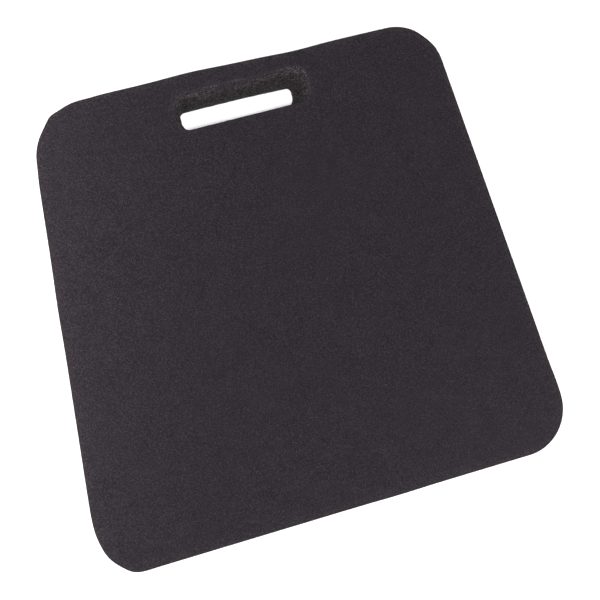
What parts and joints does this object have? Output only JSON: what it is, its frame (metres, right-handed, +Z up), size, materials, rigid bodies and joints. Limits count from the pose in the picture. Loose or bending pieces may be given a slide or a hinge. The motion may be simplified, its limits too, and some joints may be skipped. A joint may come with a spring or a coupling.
{
  "type": "kneeling pad",
  "caption": "Flat tapered closed-cell foam kneeling pad with rounded corners and a die-cut hand slot near its narrow edge.",
  "frame": {"origin": "on the base, at the centre of the pad's bounding box", "axes": "+X along the wide edge, +Y towards the narrow handle edge, +Z up out of the kneeling face"},
  "size_m": [0.4384, 0.406, 0.038],
  "materials": {
    "kneeling_skin": "very matte black foam skin with a fine purple-grey grain",
    "foam": "cut closed-cell foam, matte, open pores at the surface",
    "base_skin": "matte black foam skin, slightly coarser than the kneeling face"
  },
  "bodies": {
    "root": {"top_skin": "kneeling_skin", "foam_core": "foam", "base_skin": "base_skin"}
  },
  "joints": []
}
